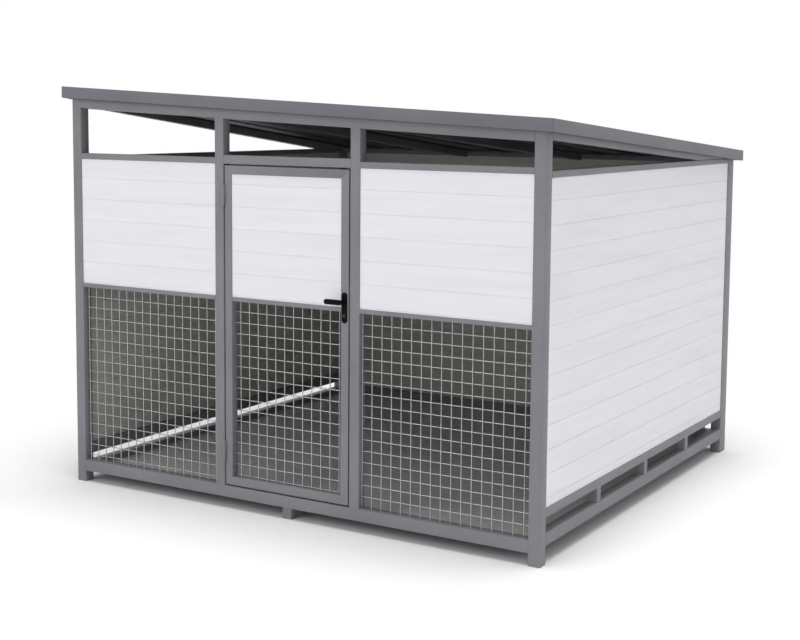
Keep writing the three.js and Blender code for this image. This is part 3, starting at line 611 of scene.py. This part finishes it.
floor = {"thickness": 0.018, "bearers": 4, "bearerWidth": 0.045, "setBack": 0.26, "letIn": 0.0005}
low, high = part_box("floor_panel")
underside = high.z - floor["thickness"]
floorParts = [block((low.x, low.y, underside), high)]
for k in range(floor["bearers"]):
    middle = low.x + (k + 0.5) * (high.x - low.x) / floor["bearers"]
    floorParts.append(block((middle - floor["bearerWidth"] / 2, low.y + floor["setBack"], low.z),
                            (middle + floor["bearerWidth"] / 2, high.y - floor["setBack"],
                             underside + floor["letIn"])))
newPiece("floorSheet", merged("floorSheet", floorParts), bodyOf["floor_panel"], plywood,
         ["floor_panel"])
print("floor made")


# Screws: hexagon heads on washers in the roof's pans, cross-recess heads in the backplates

roofScrew = {"fromFront": 0.045, "fromRear": 0.057, "alongRafter": (0.25, 0.5, 0.75), "ribs": 12,
             "washer": [(0.008, 0.0), (0.008, 0.0012), (0.0064, 0.0025)],
             "head": [(0.0046, 0.0), (0.0046, 0.004675), (0.003956, 0.0055)]}
washer = turnedForm(roofScrew["washer"], 16)
hexagon = turnedForm(roofScrew["head"], 6)
washerHeight = roofScrew["washer"][-1][1]
roofTree = BVHTree.FromObject(nodes["roof_panel"], bpy.context.evaluated_depsgraph_get())
lowRoof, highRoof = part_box("roof_panel")
ribPitch = (highRoof.x - lowRoof.x) / roofScrew["ribs"]
pans = [lowRoof.x + k * ribPitch for k in range(1, roofScrew["ribs"])]
endRows = (lowRoof.y + roofScrew["fromFront"], highRoof.y - roofScrew["fromRear"])
screwPlaces = [(x, y) for x in pans for y in endRows]
for name in ("inner_rafter_left", "inner_rafter_right"):
    low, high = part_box(name)
    nearest = min(pans, key=lambda x: abs(x - (low.x + high.x) / 2))
    screwPlaces += [(nearest, lowRoof.y + share * (highRoof.y - lowRoof.y))
                    for share in roofScrew["alongRafter"]]
screws = []
for x, y in screwPlaces:
    spot, normal = roofTree.ray_cast(Vector((x, y, 5)), Vector((0, 0, -1)))[:2]
    tilt = Vector((0, 0, 1)).rotation_difference(normal).to_matrix()
    for (points, faces), raised in ((washer, 0), (hexagon, washerHeight)):
        screws.append(((points + (0, 0, raised)) @ np.array(tilt).T + np.array(spot), faces))
mesh = merged("roofScrews", screws)
smoothBelow(mesh, 40)
newPiece("roofScrews", mesh, "frame", roofPaint)


plateScrew = {"radius": 0.0036, "height": 0.0014, "fall": 0.8, "sunk": 0.0004, "rings": 6, "flat": 0.15,
              "sides": 20, "fromEnd": 0.011, "slot": 0.0009, "slotLength": 0.0046, "slotDepth": 0.0006,
              "slotAbove": 0.00005}


# A shallow dome, whose height falls with the square of the distance from its middle.
def domedHead():
    shares = np.linspace(1, plateScrew["flat"], plateScrew["rings"])
    heights = plateScrew["height"] * (1 - plateScrew["fall"] * shares ** 2)
    rim = (plateScrew["radius"], -plateScrew["sunk"])
    return turnedForm([rim] + list(zip(shares * plateScrew["radius"], heights)), plateScrew["sides"])


# The cross in the head is drawn as two dark strips a hair above the dome: painted shade for the hollow
# recess.
def crossArms():
    half, reach = plateScrew["slot"] / 2, plateScrew["slotLength"] / 2
    top = plateScrew["height"] + plateScrew["slotAbove"]
    bottom = top - plateScrew["slotDepth"]
    return [block((-a, -b, bottom), (a, b, top)) for a, b in ((half, reach), (reach, half))]


for plate, outward in (("backplate_outer", -1), ("backplate_inner", 1)):
    low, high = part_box(plate)
    middle, face = (low.x + high.x) / 2, low.y if outward < 0 else high.y
    turn = np.array([(1, 0, 0), (0, 0, outward), (0, -outward, 0)])
    heads, arms = [], []
    for z in (low.z + plateScrew["fromEnd"], high.z - plateScrew["fromEnd"]):
        place = np.array((middle, face, z))
        points, faces = domedHead()
        heads.append((points @ turn.T + place, faces))
        arms += [(points @ turn.T + place, faces) for points, faces in crossArms()]
    for label, parts, look in (("Screws", heads, blackCoating), ("ScrewRecesses", arms, paintedRecessShade)):
        mesh = merged(plate + label, parts)
        smoothBelow(mesh, 30)
        newPiece(plate + label, mesh, "door", look)
print("screws made")


# Floor, light and camera

def stagePlane(name, size, look):
    mesh = bpy.data.meshes.new(name)
    half = size / 2
    corners = [(-half, -half, 0), (half, -half, 0), (half, half, 0), (-half, half, 0)]
    mesh.from_pydata(corners, [], [(0, 1, 2, 3)])
    mesh.materials.append(look)
    plane = bpy.data.objects.new(name, mesh)
    bpy.context.scene.collection.objects.link(plane)


# One for the rays that show the room itself: straight to the camera, mirrored or passed through glass.
def isSeen(tree):
    rays = addNode(tree, "ShaderNodeLightPath").outputs
    straight = addNode(tree, "ShaderNodeMath", {"operation": "MAXIMUM"}, {
        0: rays["Is Camera Ray"], 1: rays["Is Transmission Ray"]})
    seen = addNode(tree, "ShaderNodeMath", {"operation": "MAXIMUM"}, {
        0: straight.outputs["Value"], 1: rays["Is Glossy Ray"]})
    return seen.outputs["Value"]


# The floor takes soft shadows near the kennel and fades to the white of the room further out: the fade
# follows the distance from the kennel's own outline on the ground.
studioFloor = {"size": 60.0, "fadeWidth": 1.9}
ground, groundTree, groundShader, groundCoords = newMaterial("pale studio floor", {
    "Base Color": linear("#fcfcfc"), "Roughness": 1.0, "Specular IOR Level": 0.0})
lowCad, highCad = cadBox
mirrored = addNode(groundTree, "ShaderNodeVectorMath", {"operation": "ABSOLUTE"}, {0: groundCoords})
beyond = addNode(groundTree, "ShaderNodeVectorMath", {"operation": "SUBTRACT"}, {
    0: mirrored.outputs["Vector"], 1: (max(-lowCad.x, highCad.x), max(-lowCad.y, highCad.y), 0)})
outside = addNode(groundTree, "ShaderNodeVectorMath", {"operation": "MAXIMUM"}, {
    0: beyond.outputs["Vector"], 1: (0, 0, 0)})
distance = addNode(groundTree, "ShaderNodeVectorMath", {"operation": "LENGTH"}, {
    0: outside.outputs["Vector"]})
farOff = addNode(groundTree, "ShaderNodeMapRange", {"interpolation_type": "SMOOTHSTEP"}, {
    "Value": distance.outputs["Value"], "From Max": studioFloor["fadeWidth"]})
glow = addNode(groundTree, "ShaderNodeEmission", inputs={"Color": (1, 1, 1, 1), "Strength": 1.0})
shown = addNode(groundTree, "ShaderNodeMath", {"operation": "MULTIPLY"}, {
    0: farOff.outputs["Result"], 1: isSeen(groundTree)})
fade = addNode(groundTree, "ShaderNodeMixShader", inputs={
    0: shown.outputs["Value"], 1: groundShader.outputs["BSDF"], 2: glow.outputs["Emission"]})
connect(groundTree, groundTree.nodes["Material Output"], {"Surface": fade.outputs["Shader"]})
stagePlane("studioFloor", studioFloor["size"], ground)

world = bpy.data.worlds.new("soft white room")
bpy.context.scene.world = world
world.use_nodes = True
tree = world.node_tree
tree.nodes.clear()
# The room lights the kennel evenly, and its walls are seen as plain white.
room = addNode(tree, "ShaderNodeBackground", inputs={"Color": linear("#f5f5f6"), "Strength": 0.56})
backdrop = addNode(tree, "ShaderNodeBackground", inputs={"Color": (1, 1, 1, 1), "Strength": 1.0})
mix = addNode(tree, "ShaderNodeMixShader", inputs={
    0: isSeen(tree), 1: room.outputs["Background"], 2: backdrop.outputs["Background"]})
addNode(tree, "ShaderNodeOutputWorld", inputs={"Surface": mix.outputs["Shader"]})


softboxes = {
    "keySoftbox": {"place": (-3.0, -8.5, 4.6), "target": (0, 0, 0.8), "size": 5.0, "power": 140},
    "overheadSoftbox": {"place": (1.0, -0.5, 8.0), "target": (0, 0, 1.0), "size": 6.0, "power": 540},
    "sideSoftbox": {"place": (8.5, -1.5, 4.0), "target": (0.5, 0, 0.9), "size": 4.0, "power": 15},
}
for name, box in softboxes.items():
    data = bpy.data.lights.new(name, "AREA")
    data.shape = "SQUARE"
    data.size = box["size"]
    data.energy = box["power"]
    light = bpy.data.objects.new(name, data)
    bpy.context.scene.collection.objects.link(light)
    place = Vector(box["place"])
    light.location = place
    light.rotation_euler = (Vector(box["target"]) - place).to_track_quat("-Z", "Y").to_euler()

view = {
    "place": (3.65766, -6.17982, 1.86091),
    "yaw": 30.19,
    "pitch": -5.685,
    "roll": 0.565,
    "lens": 61.906,
    "shift": (-0.0375, -0.0875),
}
yaw, pitch, roll = (math.radians(view[key]) for key in ("yaw", "pitch", "roll"))
forward = Vector((-math.sin(yaw) * math.cos(pitch), math.cos(yaw) * math.cos(pitch), math.sin(pitch)))
level = Vector((math.cos(yaw), math.sin(yaw), 0))
upright = level.cross(forward)
right = level * math.cos(roll) + upright * math.sin(roll)
up = upright * math.cos(roll) - level * math.sin(roll)
cameraData = bpy.data.cameras.new("photoCamera")
cameraData.lens = view["lens"]
cameraData.sensor_width = 36
cameraData.sensor_fit = "HORIZONTAL"
cameraData.shift_x, cameraData.shift_y = view["shift"]
camera = bpy.data.objects.new("photoCamera", cameraData)
bpy.context.scene.collection.objects.link(camera)
turn = Matrix((right, up, -forward)).transposed()
camera.matrix_world = Matrix.Translation(view["place"]) @ turn.to_4x4()
bpy.context.scene.camera = camera
bpy.context.scene.view_settings.view_transform = "Standard"
print("stage, light and camera set")
